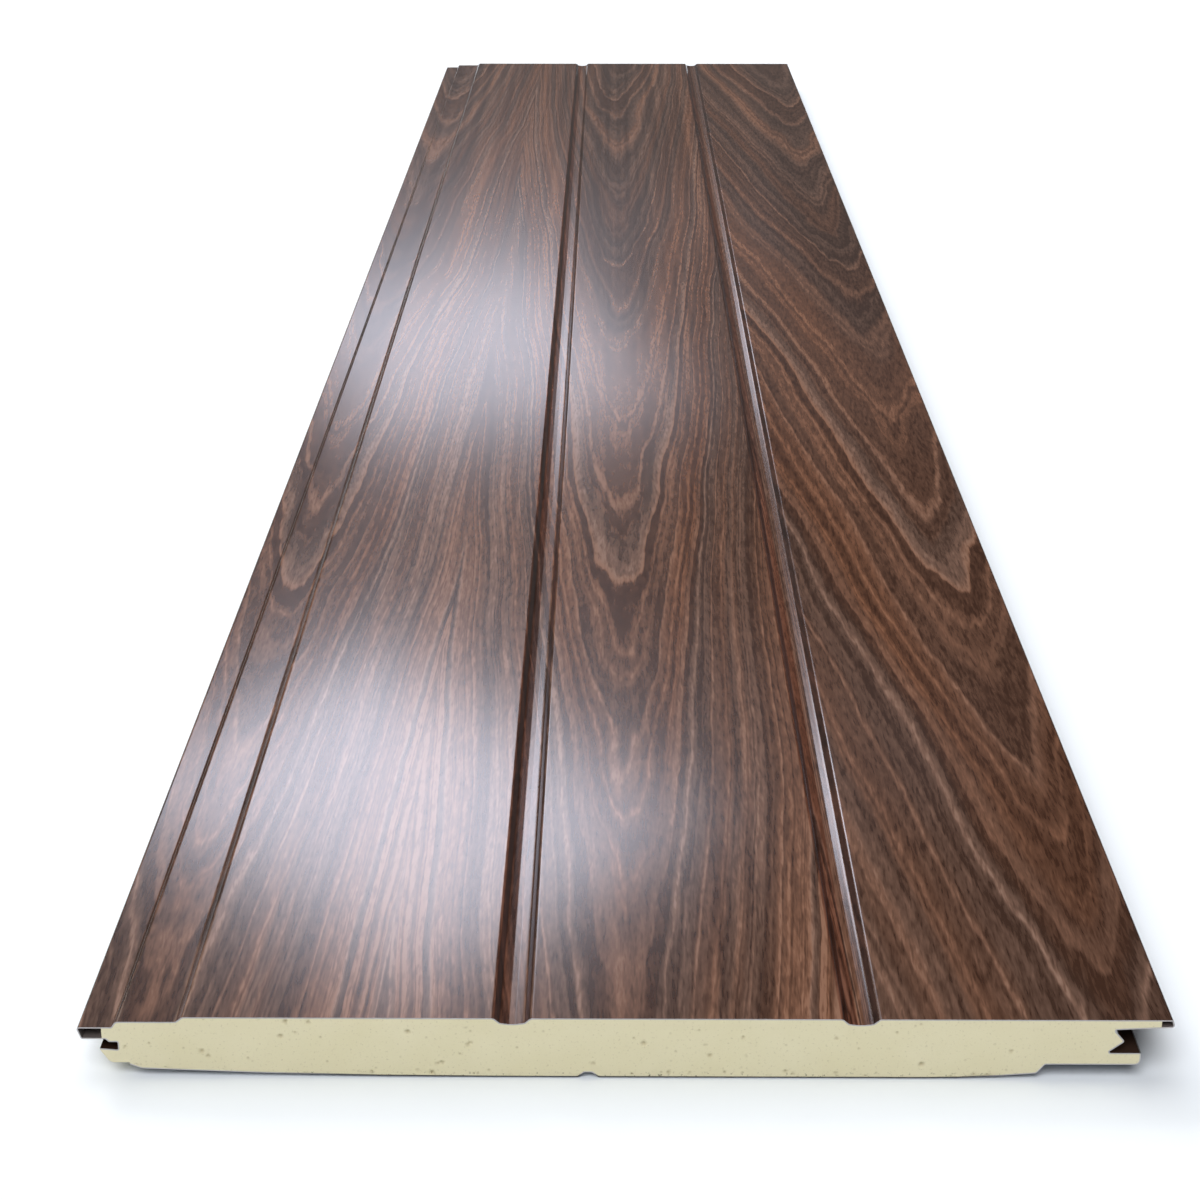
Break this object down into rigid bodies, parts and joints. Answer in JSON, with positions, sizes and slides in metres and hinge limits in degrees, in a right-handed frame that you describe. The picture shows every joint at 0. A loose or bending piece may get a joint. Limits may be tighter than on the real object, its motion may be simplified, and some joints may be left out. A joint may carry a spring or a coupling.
{
  "type": "insulated aluminium siding panel",
  "caption": "Long flat siding panel: a roll-formed wood-print aluminium face with plank grooves on a rigid foam core with a foil back, and a tongue and a slot along its edges.",
  "frame": {"origin": "middle of the panel's outline, on the plane that its back lies on", "axes": "+X across the panel from the tongue to the slot edge, +Y along its length, +Z out of its printed face"},
  "size_m": [0.3968, 2, 0.025],
  "materials": {
    "printed_aluminium": "satin rosewood print on coil-coated aluminium, bare at the cut ends",
    "rigid_foam": "sawn cream polyurethane foam with small open cells",
    "foil": "dull grey foil facing"
  },
  "bodies": {
    "root": {"face_sheet": "printed_aluminium", "foam_core": "rigid_foam", "backing_foil": "foil"}
  },
  "joints": []
}
